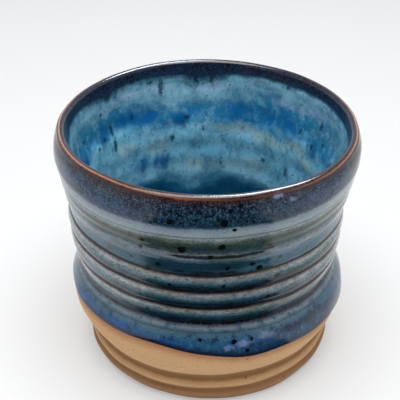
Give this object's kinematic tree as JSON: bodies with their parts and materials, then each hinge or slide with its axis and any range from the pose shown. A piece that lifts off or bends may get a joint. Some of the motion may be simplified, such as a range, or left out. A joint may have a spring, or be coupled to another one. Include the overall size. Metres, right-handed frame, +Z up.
{
  "type": "shaving mug",
  "caption": "Handleless wheel-thrown stoneware shaving mug, a wide cup for working up lather, ribbed outside, glazed inside and out above a bare clay foot.",
  "frame": {"origin": "on the table, under the middle of the foot ring", "axes": "+Z up along the axis of the cup; -Y is the side seen from the front; the glaze line is highest on the -X side"},
  "size_m": [0.1025, 0.1024, 0.0852],
  "materials": {
    "stoneware": "matt buff stoneware with fine iron specks",
    "liner_glaze": "glossy mottled blue and turquoise glaze",
    "outer_glaze": "glossy blue-grey glaze, olive in bands, breaking brown and black in the grooves",
    "rim_glaze": "glossy speckled dark navy glaze, breaking to copper brown on the lip"
  },
  "bodies": {
    "root": {"stoneware_body": "stoneware", "liner_glaze": "liner_glaze", "outer_glaze": "outer_glaze", "rim_glaze": "rim_glaze"}
  },
  "joints": []
}
